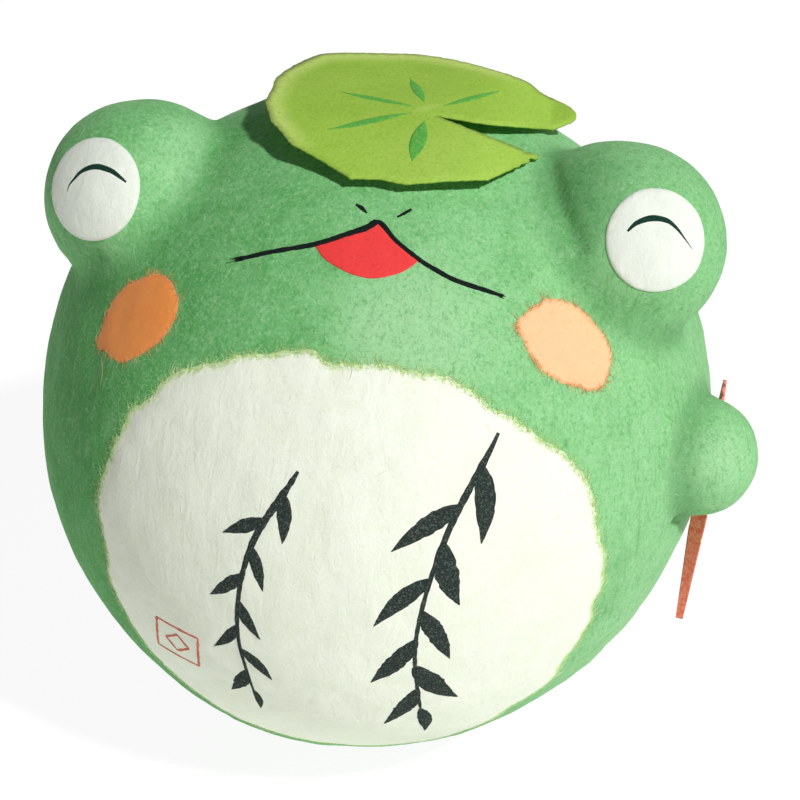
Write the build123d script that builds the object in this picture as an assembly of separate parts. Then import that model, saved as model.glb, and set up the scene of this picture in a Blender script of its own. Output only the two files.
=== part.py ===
from build123d import *
import os
from functools import lru_cache
from math import atan2, cos, degrees, hypot, radians, sin, sqrt, tan

os.makedirs("parts", exist_ok=True)

# Paper frog: a hollow papier-mache ball with eye lumps and one hand, dressed in cut and torn paper.
# Millimetres. The frog faces -Y, its left hand side is +X, and it stands on the XY plane.
# The origin is the centre of its flat foot. Places on the body are a latitude and a longitude
# in degrees, seen from the middle of the ball, with longitude 0 in front and + to the frog's left.

# Body shell
body_radius = 44.0
body_half_height = 45.9
foot_radius = 13.5
shell_wall = 2.0

# Eye lumps: balls whose centres lie near the skin, both a little to the frog's left
eye_lump_radius = 12.0
eye_lump_latitude = 45.0
eye_lump_longitude = 73.7
eye_lump_stand = -0.5
eye_lump_shift = 0.75
eye_crease_fillet = 3.0

# The one hand, on the frog's left
hand_radius = 7.15
hand_latitude = 5.0
hand_longitude = 75.4
hand_stand = -0.2
hand_crease_fillet = 1.5

# Sheets and ink
washi_thickness = 0.25
card_thickness = 0.4
ink_thickness = 0.1
glue_gap = 0.05

# White belly patch, torn to a rough circle
belly_latitude = -7.0
belly_longitude = 1.0
belly_outline = [
    (-6.5, 30.9), (3.3, 30.3), (13.5, 27.7), (22.0, 22.0), (28.8, 13.5), (31.2, 3.0),
    (29.8, -8.0), (24.5, -18.5), (12.2, -26.6), (-3.0, -29.0), (-15.5, -26.0),
    (-24.6, -18.4), (-29.5, -8.5), (-31.2, 3.5), (-28.3, 14.9), (-20.1, 25.4),
]

# White eye discs on the eye lumps, each with a smiling arc
eye_white_radius = 6.3
eye_white_latitude = 26.0
eye_white_longitudes = {-1: -20.0, 1: 14.0}
eye_arc_inner = (-4.1, 1.4)
eye_arc_top = (-0.2, 2.7)
eye_arc_outer = (3.9, -1.3)
eye_arc_width = 0.8

# Orange cheeks, torn to rough ovals
right_cheek_latitude = 32.5
right_cheek_longitude = -44.5
right_cheek_outline = [
    (-5.7, -6.0), (-5.8, -0.2), (-3.3, 3.4), (0.1, 5.7), (3.2, 5.3), (5.4, 1.4), (1.1, -5.5),
]
left_cheek_latitude = 35.0
left_cheek_longitude = 42.5
left_cheek_outline = [
    (-5.6, 5.0), (-1.3, 6.4), (3.2, 4.2), (6.2, -1.7), (4.1, -5.4), (-0.9, -4.3), (-5.5, 0.3),
]

# Face drawing, laid out on a plane that faces the middle of the face
face_latitude = 52.0
face_longitude = 3.0
mouth_right_line = [(-17.5, -0.1), (-11.6, 0.7), (-6.9, 1.6), (-3.0, 3.1), (-0.2, 4.8)]
mouth_left_line = [(-0.2, 4.8), (2.1, 2.6), (4.8, 0.6), (9.9, -1.6), (14.8, -2.2)]
mouth_line_width = 0.65
mouth_right_corner = (-7.0, 1.2)
mouth_left_corner = (4.8, 0.1)
mouth_bottom = (-0.1, -2.5)
mouth_top = (-0.2, 4.5)
nostril_right = [(-2.7, 6.8), (-1.6, 5.9)]
nostril_left = [(2.2, 5.7), (3.5, 6.7)]
nostril_width = 0.45

# Brush drawing on the belly: two hanging willow twigs and a small red seal frame
large_twig_stem = [(17.0, 23.0), (12.0, 12.0), (9.5, -2.0), (10.5, -17.0)]
large_twig_leaf = (9.0, 2.9)
large_twig_leaves = 9
small_twig_stem = [(-5.5, 19.0), (-10.5, 9.0), (-12.0, -3.0), (-10.0, -16.0)]
small_twig_leaf = (6.0, 1.9)
small_twig_leaves = 9
twig_stem_width = 0.7
twig_leaf_spread = 32.0
seal_centre = (-20.8, -10.2)
seal_size = 5.6
seal_line_width = 0.5
seal_diamond = 2.6

# Lotus leaf: card bent over the crown, outline measured from the point where its veins meet
leaf_bend_radius = 84.0
leaf_centre = (5.0, -8.6)
leaf_notch_apex = (1.0, -0.8)
leaf_front_edge = [
    (13.7, -7.4), (8.4, -12.5), (3.5, -13.4), (-1.0, -14.6), (-7.3, -14.7), (-14.9, -10.1), (-19.4, -1.8),
]
leaf_back_edge = [
    (-19.4, -1.8), (-18.9, 5.0), (-13.4, 13.8), (-4.9, 16.0), (6.0, 14.1), (13.2, 7.9), (16.9, 4.5),
    (17.5, 1.7), (15.1, -1.1),
]
# Each vein is an angle, the distances where it starts and ends, and its greatest width
leaf_veins = [
    (110.0, 2.0, 8.9, 1.4), (167.0, 1.9, 11.1, 1.1), (209.0, 2.3, 12.9, 1.2),
    (266.0, 2.5, 10.5, 2.2), (41.0, 2.2, 10.6, 1.1),
]

# Pleated fan, standing flat against the body's left side behind the hand
fan_radius = 32.3
fan_plane_latitude = -2.4
fan_plane_longitude = 85.3
fan_stand = 0.35
fan_pivot = (-0.3, -23.7)
fan_front_angle = 90.0
fan_back_angle = 12.0
fan_pleats = 18
fan_sheet = 0.35
fan_depth_at_rim = 1.3
fan_depth_at_pivot = 0.8
fan_inner_distance = 0.8
fan_trim = 2.1

centre_height = body_half_height * sqrt(1 - (foot_radius / body_radius) ** 2)
body_centre = Vector(0, 0, centre_height)
crown_height = centre_height + body_half_height
reach = 3 * body_half_height
paper_top = glue_gap + washi_thickness
ink_top = paper_top + ink_thickness


def direction(latitude, longitude):
    """Unit vector from the middle of the ball."""
    flat = cos(radians(latitude))
    return Vector(
        sin(radians(longitude)) * flat, -cos(radians(longitude)) * flat, sin(radians(latitude))
    )


def facing(latitude, longitude, origin=body_centre):
    """Plane with its normal in a direction, its x level and its y up the body."""
    level = Vector(cos(radians(longitude)), sin(radians(longitude)), 0)
    return Plane(origin=origin, x_dir=level, z_dir=direction(latitude, longitude))


def on_skin(latitude, longitude, stand):
    """Point at a distance outside the ball's skin, straight out from its middle."""
    way = direction(latitude, longitude)
    level = hypot(way.X, way.Y)
    skin_distance = 1 / sqrt((level / body_radius) ** 2 + (way.Z / body_half_height) ** 2)
    return body_centre + way * (skin_distance + stand)


def ball(centre, radius):
    """Ball with its poles along the line to the body's middle, away from the crease."""
    return Plane(origin=centre, z_dir=(centre - body_centre).normalized()) * Sphere(radius)


def eye_lump_centre(side):
    even = on_skin(eye_lump_latitude, side * eye_lump_longitude, eye_lump_stand)
    return even + Vector(eye_lump_shift, 0, 0)


def egg(grow):
    """The plain ball of the body, its surface moved outwards by a distance."""
    across = body_radius + grow
    high = body_half_height + grow
    corners = [(0, -high), (2 * across, -high), (2 * across, high), (0, high)]
    half_ellipse = Bezier(corners, weights=[1, 1 / 3, 1 / 3, 1])
    profile = Plane.XZ * make_face([half_ellipse, Line(corners[-1], corners[0])])
    return Pos(body_centre) * revolve(profile, Axis.Z)


@lru_cache
def skin(grow=0.0, hand=True):
    """Solid inside the body's outer surface, moved outwards by a distance."""
    round_body = egg(grow)
    lumps = [ball(eye_lump_centre(side), eye_lump_radius + grow) for side in (-1, 1)]
    form = round_body + lumps
    form = fillet(new_edges(round_body, *lumps, combined=form), eye_crease_fillet - grow)
    if hand:
        fist = ball(on_skin(hand_latitude, hand_longitude, hand_stand), hand_radius + grow)
        with_fist = form + fist
        creases = new_edges(form, fist, combined=with_fist)
        form = fillet(creases, hand_crease_fillet - grow)
    return form


def above(form, height):
    """The part of a solid above a level."""
    return split(form, Plane.XY.offset(height), keep=Keep.TOP)


def body():
    """Hollow shell with a flat foot; the hand is a solid lump on it."""
    hollow = above(skin(-shell_wall, hand=False), shell_wall)
    return above(skin(), 0) - hollow


def on_body(outline, plane, low, high):
    """Thin piece that follows the skin between two heights over it, inside an outline."""
    prism = extrude(plane * outline, reach)
    return (prism & skin(high)) - skin(low)


def sheet_on_body(outline, plane):
    """Glued washi inside an outline."""
    return on_body(outline, plane, glue_gap, paper_top)


def ink_on_sheet(outline, plane):
    """Ink on a glued washi sheet."""
    return on_body(outline, plane, paper_top, ink_top)


def rough_outline(points):
    """Closed smooth outline through points."""
    return make_face(Spline(points, periodic=True))


def stroke(points, width):
    """Brush stroke of even width through points."""
    path = Line(points) if len(points) == 2 else Spline(points)
    return trace(path, width)


def lens(length, width):
    """Slim pointed leaf from the origin along X."""
    over = ThreePointArc((0, 0), (length / 2, width / 2), (length, 0))
    under = ThreePointArc((length, 0), (length / 2, -width / 2), (0, 0))
    return make_face([over, under])


def mirrored(point, side):
    return (side * point[0], point[1])


def eye_plane(side):
    return facing(eye_white_latitude, eye_white_longitudes[side], eye_lump_centre(side))


def eye_white(side):
    return sheet_on_body(Circle(eye_white_radius), eye_plane(side))


def eye_line(side):
    """Crescent stroke that closes the smiling eye."""
    inner, top, outer = [mirrored(p, side) for p in (eye_arc_inner, eye_arc_top, eye_arc_outer)]
    belly_of_stroke = (top[0], top[1] - eye_arc_width)
    crescent = make_face([ThreePointArc(inner, top, outer), ThreePointArc(outer, belly_of_stroke, inner)])
    return ink_on_sheet(crescent, eye_plane(side))


def mouth():
    """Red paper under the mouth line."""
    edges = [
        Line(mouth_right_corner, mouth_top),
        Line(mouth_top, mouth_left_corner),
        ThreePointArc(mouth_left_corner, mouth_bottom, mouth_right_corner),
    ]
    return sheet_on_body(make_face(edges), facing(face_latitude, face_longitude))


def mouth_line(red_paper):
    """Two brush strokes that meet in a peak, drawn over the top edges of the red paper."""
    strokes = stroke(mouth_right_line, mouth_line_width) + stroke(mouth_left_line, mouth_line_width)
    return on_body(strokes, facing(face_latitude, face_longitude), 0, ink_top) - red_paper


def nostrils():
    strokes = stroke(nostril_right, nostril_width) + stroke(nostril_left, nostril_width)
    return on_body(strokes, facing(face_latitude, face_longitude), 0, ink_thickness)


def twig(stem_points, leaf_size, leaves):
    """Hanging twig: a stem with slim leaves on alternate sides, all pointing down it."""
    stem = Spline(stem_points)
    outline = trace(stem, twig_stem_width)
    for i in range(leaves):
        along = (i + 0.8) / leaves
        foot = stem @ along
        way = stem % along
        side = 0 if i == leaves - 1 else (-1) ** i
        angle = degrees(atan2(way.Y, way.X)) + side * twig_leaf_spread
        outline += Pos(foot.X, foot.Y) * Rot(0, 0, angle) * lens(*leaf_size)
    return outline


def belly_twigs():
    outline = twig(large_twig_stem, large_twig_leaf, large_twig_leaves)
    outline += twig(small_twig_stem, small_twig_leaf, small_twig_leaves)
    return on_belly(outline)


def belly_seal():
    """Small square frame round a plain diamond."""
    inside = seal_size - 2 * seal_line_width
    frame = Rectangle(seal_size, seal_size) - Rectangle(inside, inside)
    diamond = Rot(0, 0, 45) * Rectangle(seal_diamond, seal_diamond)
    return on_belly(Pos(*seal_centre) * (frame + diamond))


def on_belly(outline):
    return ink_on_sheet(outline, facing(belly_latitude, belly_longitude))


def bent_sheet(low, high):
    """Sheet bent over the crown about a level left to right line, between two heights over it."""
    axis_height = crown_height + glue_gap - leaf_bend_radius
    rolls = [Cylinder(leaf_bend_radius + height, reach) for height in (high, low)]
    return Pos(0, 0, axis_height) * Rot(0, 90, 0) * (rolls[0] - rolls[1])


def lotus_leaf():
    """Round leaf with a notch, scissor cut in short straight lengths along the front."""
    edges = Polyline(leaf_notch_apex, *leaf_front_edge) + Spline(leaf_back_edge)
    edges += Line(leaf_back_edge[-1], leaf_notch_apex)
    return over_crown(make_face(edges), 0, card_thickness)


def veins():
    outline = Sketch()
    for angle, start, end, width in leaf_veins:
        outline += Rot(0, 0, angle) * Pos(start, 0) * lens(end - start, width)
    return over_crown(outline, card_thickness, card_thickness + ink_thickness)


def over_crown(outline, low, high):
    prism = extrude(Pos(*leaf_centre, centre_height) * outline, reach)
    return prism & bent_sheet(low, high)


def fan_section(distance, depth):
    """Zigzag cross section of the pleats at a distance from the pivot."""
    spread = fan_front_angle - fan_back_angle
    fold_height = (depth - fan_sheet) / 2
    folds = []
    for i in range(fan_pleats + 1):
        angle = spread * (i / fan_pleats - 0.5)
        folds.append((distance * tan(radians(angle)), fold_height * (-1) ** i))
    upper = [(across, fold + fan_sheet / 2) for across, fold in folds]
    lower = [(across, fold - fan_sheet / 2) for across, fold in reversed(folds)]
    return make_face(Polyline(*upper, *lower, close=True))


def fan():
    """Pleated half-open fan, made a little too long and cut to an arc about its pivot."""
    side = facing(fan_plane_latitude, fan_plane_longitude)
    normal = side.z_dir
    tangent_distance = sqrt(
        body_radius ** 2 * (normal.X ** 2 + normal.Y ** 2) + (body_half_height * normal.Z) ** 2
    )
    side = side.offset(tangent_distance + fan_stand)
    middle_angle = (fan_front_angle + fan_back_angle) / 2
    pivot = side * Pos(*fan_pivot) * Rot(0, 0, middle_angle)
    ends = [(fan_inner_distance, fan_depth_at_pivot), (fan_radius + fan_trim, fan_depth_at_rim)]
    sections = []
    for distance, depth in ends:
        across_plane = Plane(origin=(distance, 0, 0), x_dir=(0, 1, 0), z_dir=(1, 0, 0))
        sections.append(across_plane * fan_section(distance, depth))
    pleats = loft(sections, ruled=True) & Cylinder(fan_radius, 4 * fan_depth_at_rim)
    return pivot * pleats - skin(glue_gap)


def write(name, shape):
    shape.label = name
    export_step(shape, f"parts/{name}.step")


def main():
    red_paper = mouth()
    write("body", body())
    write("belly_patch", sheet_on_body(
        rough_outline(belly_outline), facing(belly_latitude, belly_longitude)))
    write("belly_twigs", belly_twigs())
    write("belly_seal", belly_seal())
    write("right_cheek", sheet_on_body(
        rough_outline(right_cheek_outline), facing(right_cheek_latitude, right_cheek_longitude)))
    write("left_cheek", sheet_on_body(
        rough_outline(left_cheek_outline), facing(left_cheek_latitude, left_cheek_longitude)))
    for name, side in (("right", -1), ("left", 1)):
        write(f"{name}_eye_white", eye_white(side))
        write(f"{name}_eye_line", eye_line(side))
    write("mouth", red_paper)
    write("mouth_line", mouth_line(red_paper))
    write("nostrils", nostrils())
    write("lotus_leaf", lotus_leaf())
    write("leaf_veins", veins())
    write("fan", fan())


main()
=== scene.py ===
import math

import bpy
import numpy as np
from mathutils import Matrix, Vector
from mathutils.geometry import delaunay_2d_cdt


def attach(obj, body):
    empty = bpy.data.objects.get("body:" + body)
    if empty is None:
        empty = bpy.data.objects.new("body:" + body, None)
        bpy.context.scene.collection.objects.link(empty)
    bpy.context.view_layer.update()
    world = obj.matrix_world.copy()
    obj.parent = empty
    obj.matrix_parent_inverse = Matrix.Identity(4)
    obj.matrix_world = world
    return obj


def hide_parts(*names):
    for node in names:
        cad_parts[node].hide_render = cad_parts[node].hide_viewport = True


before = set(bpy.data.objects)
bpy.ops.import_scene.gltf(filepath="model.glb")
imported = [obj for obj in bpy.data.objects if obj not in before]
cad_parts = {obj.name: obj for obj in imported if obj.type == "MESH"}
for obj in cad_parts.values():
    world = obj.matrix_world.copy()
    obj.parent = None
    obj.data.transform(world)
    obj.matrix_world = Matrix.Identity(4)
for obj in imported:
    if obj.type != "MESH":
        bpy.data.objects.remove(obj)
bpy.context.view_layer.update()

# Looks of the paper frog. Lengths are millimetres from the middle of the ball until a mesh is made.
# The frog faces -Y and its left hand side is +X. Latitudes and longitudes are degrees seen from
# the middle of the ball, with longitude 0 in front and + to the frog's left.

MM = 0.001
BALL = np.array([44.0, 44.0, 45.9])
FOOT_RADIUS = 13.5
CENTRE_HEIGHT = BALL[2] * math.sqrt(1 - (FOOT_RADIUS / BALL[0]) ** 2)
SKIN_NEAR, SKIN_FAR = 30.0, 70.0    # the skin lies between these distances from the middle
REACH = 75.0            # farther out than any point of the frog

PAPER_LIFT = 0.30       # top of a glued sheet over the skin
THIN_LIFT = 0.10        # top of the thin red paper of the mouth
CHEEK_LIFT = 0.14       # top of the cheeks
TORN_LIFT = -0.015      # rim of a torn sheet
CUT_LIFT = 0.06         # rim of a cut sheet
SHEET_UNDER = -0.04     # underside of a glued sheet
INK = 0.02              # height of a brush line
ON_PAPER = PAPER_LIFT + 0.02    # base of the drawing on the belly

CAMERA_TURN = 4.5       # degrees to the frog's left
CAMERA_HEIGHT = 30.0    # degrees above the horizon
CAMERA_ROLL = 3.7
CAMERA_DISTANCE = 352.0
CAMERA_FOCAL = 2690.0   # pixels
PICTURE = 800.0
PICTURE_CENTRE = (375.5, 403.0)   # where the middle of the ball is seen


def unit(v):
    return v / np.maximum(np.linalg.norm(v, axis=-1, keepdims=True), 1e-12)


def turned(angle):
    """Unit step at an angle in radians, and the step to its left."""
    way = np.array([math.cos(angle), math.sin(angle)])
    return way, np.array([-way[1], way[0]])


def direction(latitude, longitude):
    la, lo = math.radians(latitude), math.radians(longitude)
    return np.array([math.sin(lo) * math.cos(la), -math.cos(lo) * math.cos(la), math.sin(la)])


def on_ball(latitude, longitude, stand):
    way = direction(latitude, longitude)
    return way * (1 / np.linalg.norm(way / BALL) + stand)


class Plane:
    """A level x axis, a y axis up the body and a normal towards a direction."""

    def __init__(self, latitude, longitude, origin=(0, 0, 0)):
        lo = math.radians(longitude)
        self.origin = np.array(origin, float)
        self.z = direction(latitude, longitude)
        self.x = np.array([math.cos(lo), math.sin(lo), 0.0])
        self.y = np.cross(self.z, self.x)

    def point(self, uv):
        uv = np.asarray(uv, float)
        return self.origin + uv[:, :1] * self.x + uv[:, 1:2] * self.y


EYE_SHIFTS = {-1: (0.4, 0.0, -0.7), 1: (0.35, 0.0, 0.0)}
EYE_LUMPS = {side: on_ball(45.0, side * 73.7, -0.5) + EYE_SHIFTS[side] for side in (-1, 1)}
HAND = on_ball(5.0, 75.2, -0.3)
# Each eye lump has a shoulder towards the crown: offset from the lump's centre
SHOULDERS = {-1: (2.38, 1.58, 2.40), 1: (-3.5, 0.5, 2.1)}
# centre, radius and width of the soft crease
LUMPS = [(EYE_LUMPS[-1], 12.25, 2.8), (EYE_LUMPS[1], 12.35, 3.0), (HAND, 7.9, 1.8),
         (EYE_LUMPS[-1] + SHOULDERS[-1], 9.2, 1.8), (EYE_LUMPS[1] + SHOULDERS[1], 9.4, 1.8)]
# The ball is flatter behind the crown, low on its left and on its right, and fuller low in
# front: direction, half width in degrees and depth
FLATS = [(direction(52, -134), 20.0, 5.6), (direction(49, 136), 20.0, 3.2),
         (direction(-42, 63), 40.0, 0.8), (direction(2, -93), 35.0, 0.45),
         (direction(-57, -27), 15.0, -0.6)]


def ball_distance(p):
    k0 = np.linalg.norm(p / BALL, axis=-1)
    k1 = np.linalg.norm(p / BALL ** 2, axis=-1)
    d = k0 * (k0 - 1) / k1
    way = unit(p)
    for middle, half_width, depth in FLATS:
        d = d + depth * np.exp((way @ middle - 1) * 2 / math.radians(half_width) ** 2)
    return d


def distance(p):
    """About how far points are outside the smooth skin."""
    d = ball_distance(p)
    for centre, radius, crease in LUMPS:
        lump = np.linalg.norm(p - centre, axis=-1) - radius
        h = np.clip(crease - np.abs(d - lump), 0, None) / crease
        d = np.minimum(d, lump) - h * h * crease / 4
    return d


def normal(p):
    step = 0.05
    slope = [distance(p + step * e) - distance(p - step * e) for e in np.eye(3)]
    return unit(np.stack(slope, -1))


def march(start, way, near, far):
    """Where rays leave the skin, between two distances along them."""
    low, high = np.full(len(start), near), np.full(len(start), far)
    for _ in range(24):
        middle = (low + high) / 2
        inside = distance(start + middle[:, None] * way) < 0
        low, high = np.where(inside, middle, low), np.where(inside, high, middle)
    return start + ((low + high) / 2)[:, None] * way


def snap(p):
    """Moves points near the skin onto it."""
    for _ in range(3):
        p = p - normal(p) * distance(p)[..., None]
    return p


class Waves:
    """Smooth random field: many sine waves of random direction and phase."""

    def __init__(self, seed, count, shortest, longest, height):
        rng = np.random.default_rng(seed)
        way = unit(rng.normal(size=(count, 3)))
        self.turn = way * (2 * math.pi / rng.uniform(shortest, longest, count))[:, None]
        self.phase = rng.uniform(0, 2 * math.pi, count)
        self.height = height * math.sqrt(2 / count)

    def __call__(self, p):
        return self.height * np.sin(p @ self.turn.T + self.phase).sum(-1)


def smooth(x):
    x = np.clip(x, 0, 1)
    return x * x * (3 - 2 * x)


def to_lines(p, line):
    """Distance of points to a run of straight lines."""
    best = np.full(p.shape[:-1], 1e9)
    for a, b in zip(line[:-1], line[1:]):
        t = np.clip(((p - a) @ (b - a)) / max((b - a) @ (b - a), 1e-12), 0, 1)
        best = np.minimum(best, np.linalg.norm(p - a - t[..., None] * (b - a), axis=-1))
    return best


def camera_axes():
    a, e, roll = (math.radians(x) for x in (CAMERA_TURN, CAMERA_HEIGHT, CAMERA_ROLL))
    back = np.array([math.sin(a) * math.cos(e), -math.cos(a) * math.cos(e), math.sin(e)])
    right = np.array([math.cos(a), math.sin(a), 0.0])
    up = np.cross(back, right)
    rolled_right = math.cos(roll) * right + math.sin(roll) * up
    rolled_up = -math.sin(roll) * right + math.cos(roll) * up
    return rolled_right, rolled_up, back


RIGHT, UP, BACK = camera_axes()
EYE = (CAMERA_DISTANCE * BACK
       - RIGHT * (PICTURE_CENTRE[0] - PICTURE / 2) / CAMERA_FOCAL * CAMERA_DISTANCE
       + UP * (PICTURE_CENTRE[1] - PICTURE / 2) / CAMERA_FOCAL * CAMERA_DISTANCE)


def seen(pixels):
    """Points on the skin that are seen at pixels of the picture."""
    pixels = np.asarray(pixels, float)
    across = (pixels[:, :1] - PICTURE / 2) / CAMERA_FOCAL
    down = (pixels[:, 1:2] - PICTURE / 2) / CAMERA_FOCAL
    way = unit(RIGHT * across - UP * down - BACK)
    t = np.full(len(way), CAMERA_DISTANCE - REACH)
    for _ in range(80):
        t += np.clip(distance(EYE + t[:, None] * way), -1, None) * 0.9
    return EYE + t[:, None] * way


RELIEF_SHIFT = -0.14    # the papered skin as a whole is a little lower
swell = Waves(11, 26, 20, 44, 0.09)
dents = Waves(12, 60, 6.5, 13, 0.038)
crumple = Waves(13, 110, 2.4, 5, 0.016)
tear_wander = Waves(14, 40, 5, 16, 1.6)
tear_teeth = Waves(15, 90, 0.9, 2.2, 0.16)

SHEET = 0.055           # thickness of one torn sheet of the skin
SHEET_COUNT = 26
TORN_EDGE = 0.5         # width in which a torn sheet thins out
sheet_rng = np.random.default_rng(21)
sheet_centres = unit(sheet_rng.normal(size=(SHEET_COUNT, 3))) * 45
sheet_sizes = sheet_rng.uniform(15, 25, SHEET_COUNT)
sheet_tones = sheet_rng.uniform(-1, 1, SHEET_COUNT)

# Dents and folds that show: pixels, half width and depth (a fold that stands up has less than 0)
FOLDS = [
    ([(671, 412), (668, 430), (666, 455), (668, 480)], 0.8, 0.75),
    ([(678, 522), (679, 528)], 0.8, 0.9),
    ([(549, 160), (552, 176), (557, 198), (566, 226), (578, 250)], 0.85, 0.75),
    ([(474, 318), (492, 321), (512, 332)], 0.8, 0.40),
    ([(566, 252), (580, 262), (590, 258)], 1.6, -0.22),
    ([(70, 270), (84, 268), (98, 262)], 1.3, 0.35),
    ([(64, 500), (70, 455), (74, 400)], 2.6, 0.30),
    ([(96, 330), (90, 362), (86, 405)], 2.2, 0.22),
    ([(686, 300), (672, 312), (650, 322)], 1.6, 0.30),
    ([(642, 480), (640, 440), (648, 412)], 3.0, -0.25),
    ([(700, 440), (716, 452), (722, 474)], 1.2, 0.10),
    ([(255, 208), (300, 178), (330, 172)], 2.5, -0.12),
]
fold_lines = [(seen(points), width, depth) for points, width, depth in FOLDS]


def sheets_over(p):
    """For each torn sheet of the skin in turn, 1 where it lies and 0 elsewhere."""
    wander = tear_wander(p) + tear_teeth(p)
    for centre, size in zip(sheet_centres, sheet_sizes):
        yield smooth((size - np.linalg.norm(p - centre, axis=-1) + wander) / TORN_EDGE)


def relief(p):
    """Height of the papered skin over the smooth one."""
    height = RELIEF_SHIFT + swell(p) + dents(p) + crumple(p)
    for inside in sheets_over(p):
        height = height + SHEET * (inside - 0.25)
    for line, width, depth in fold_lines:
        height = height - depth * np.exp(-(to_lines(p, line) / width) ** 2)
    return height


def tone(p):
    """-1 to 1: which torn sheet is on top decides how dark the paper is."""
    shade = np.zeros(len(p))
    for inside, own in zip(sheets_over(p), sheet_tones):
        shade = shade * (1 - inside) + own * inside
    return shade


def lifted(p, lift):
    """Points of the smooth skin, moved out to the papered one and a height over it."""
    n = normal(p)
    return p + n * (relief(p) + lift)[:, None], n


def land(plane, uv):
    """Where flat points reach the smooth skin, straight along a plane's normal."""
    start = plane.point(uv)
    return march(start, np.tile(plane.z, (len(start), 1)), 0.0, REACH)


def lay(plane, uv, lift):
    """Lays flat points on the papered skin."""
    return lifted(land(plane, uv), lift)[0]


def add_object(name, data):
    made = bpy.data.objects.new(name, data)
    bpy.context.scene.collection.objects.link(made)
    return made


def add_mesh(name, points, faces, slot, material, replaces=(), marks=None, soft=True):
    """Makes a piece from points in millimetres. marks are extra numbers for each point."""
    mesh = bpy.data.meshes.new(name)
    mesh.from_pydata(
        ((np.asarray(points) + (0, 0, CENTRE_HEIGHT)) * MM).tolist(), [],
        [list(map(int, f)) for f in faces])
    for key, values in (marks or {}).items():
        layer = mesh.attributes.new(key, "FLOAT", "POINT")
        layer.data.foreach_set("value", np.asarray(values, np.float32))
    mesh.shade_smooth() if soft else mesh.shade_flat()
    mesh.validate()
    piece = add_object(name, mesh)
    mesh.materials.append(material)
    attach(piece, "root")
    if replaces:
        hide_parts(*replaces)


def smooth_curve(points, count, closed=False):
    """Catmull-Rom curve through points, evenly spaced."""
    p = np.asarray(points, float)
    if closed:
        p = np.concatenate([p[-1:], p, p[:2]])
    else:
        p = np.concatenate([[2 * p[0] - p[1]], p, [2 * p[-1] - p[-2]]])
    fine = []
    for a, b, c, d in zip(p[:-3], p[1:-2], p[2:-1], p[3:]):
        t = np.linspace(0, 1, 24, endpoint=False)[:, None]
        fine.append(0.5 * (2 * b + (c - a) * t + (2 * a - 5 * b + 4 * c - d) * t ** 2
                           + (3 * b - a - 3 * c + d) * t ** 3))
    fine = np.concatenate(fine + [p[-2:-1]])
    return evenly(fine, count, closed)


def evenly(line, count, closed=False):
    """The same line with points at even distances."""
    line = np.asarray(line, float)
    run = np.concatenate([[0], np.cumsum(np.linalg.norm(np.diff(line, axis=0), axis=1))])
    at = np.linspace(0, run[-1], count, endpoint=not closed)
    return np.stack([np.interp(at, run, line[:, i]) for i in range(line.shape[1])], -1)


def spread_over(values, count):
    """Values at even distances along a line of more points."""
    return np.interp(np.linspace(0, 1, count), np.linspace(0, 1, len(values)), values)


def to_the_right(outline, reach=1):
    """Unit steps to the right of an outline's direction at each of its points."""
    around = np.roll(outline, -reach, axis=0) - np.roll(outline, reach, axis=0)
    return unit(np.stack([around[:, 1], -around[:, 0]], -1))


def flat_waves(waves, flat):
    return waves(np.pad(flat, ((0, 0), (0, 1))))


def ragged(outline, seed, size, shortest, longest):
    """Moves an outline's points in and out at random."""
    waves = Waves(seed, 60, shortest, longest, size)
    return outline + to_the_right(outline) * flat_waves(waves, outline)[:, None]


def inside_of(points, outline):
    x, y = points[:, 0], points[:, 1]
    odd = np.zeros(len(points), bool)
    for (x0, y0), (x1, y1) in zip(outline, np.roll(outline, -1, axis=0)):
        crosses = (y0 > y) != (y1 > y)
        rise = y1 - y0 if abs(y1 - y0) > 1e-12 else 1e-12
        odd ^= crosses & (x < (x1 - x0) * (y - y0) / rise + x0)
    return odd


def fill(outline, spacing, rims):
    """Triangles that fill an outline, with rings of points at distances from its edge.

    Returns points, triangles and distances to the edge.
    """
    low, high = outline.min(0), outline.max(0)
    rows = np.arange(low[1], high[1], spacing * 0.866)
    grid = []
    for i, y in enumerate(rows):
        x = np.arange(low[0] + (i % 2) * spacing / 2, high[0], spacing)
        grid.append(np.stack([x, np.full(len(x), y)], -1))
    grid = np.concatenate(grid)
    grid = grid[inside_of(grid, outline)]
    closed = np.concatenate([outline, outline[:1]])
    gap = to_lines(grid, closed)
    points = [outline, grid[gap > max(rims) + 0.6 * spacing]]
    inward = -to_the_right(outline)
    if not inside_of(outline[:1] + 0.01 * inward[:1], outline)[0]:
        inward = -inward
    for rim in rims:
        ring = outline + inward * rim
        ring = ring[inside_of(ring, outline)]
        points.append(ring[to_lines(ring, closed) > 0.8 * rim])
    points = np.concatenate(points)
    edges = [(i, (i + 1) % len(outline)) for i in range(len(outline))]
    made = delaunay_2d_cdt([Vector(p) for p in points], edges, [], 1, 1e-5)
    flat = np.array([tuple(v) for v in made[0]])
    triangles = [f for f in made[2] if len(f) == 3]
    return flat, triangles, to_lines(flat, closed)


def slab(top, bottom, triangles):
    """Closed solid between two copies of a filled outline."""
    count = len(top)
    faces = [tuple(f) for f in triangles]
    edges = dict.fromkeys(
        edge for a, b, c in triangles for edge in ((a, b), (b, c), (c, a)))
    walls = [(a, b) for a, b in edges if (b, a) not in edges]
    under = [(c + count, b + count, a + count) for a, b, c in triangles]
    sides = [(b, a, a + count, b + count) for a, b in walls]
    return np.concatenate([top, bottom]), faces + under + sides


def tube_faces(rings, section):
    """Faces of a closed tube made of equal rings of points."""
    faces = []
    for i in range(rings - 1):
        for j in range(section):
            a, b = i * section + j, i * section + (j + 1) % section
            faces.append((a, b, b + section, a + section))
    faces.append(tuple(reversed(range(section))))
    faces.append(tuple(range((rings - 1) * section, rings * section)))
    return faces


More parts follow.
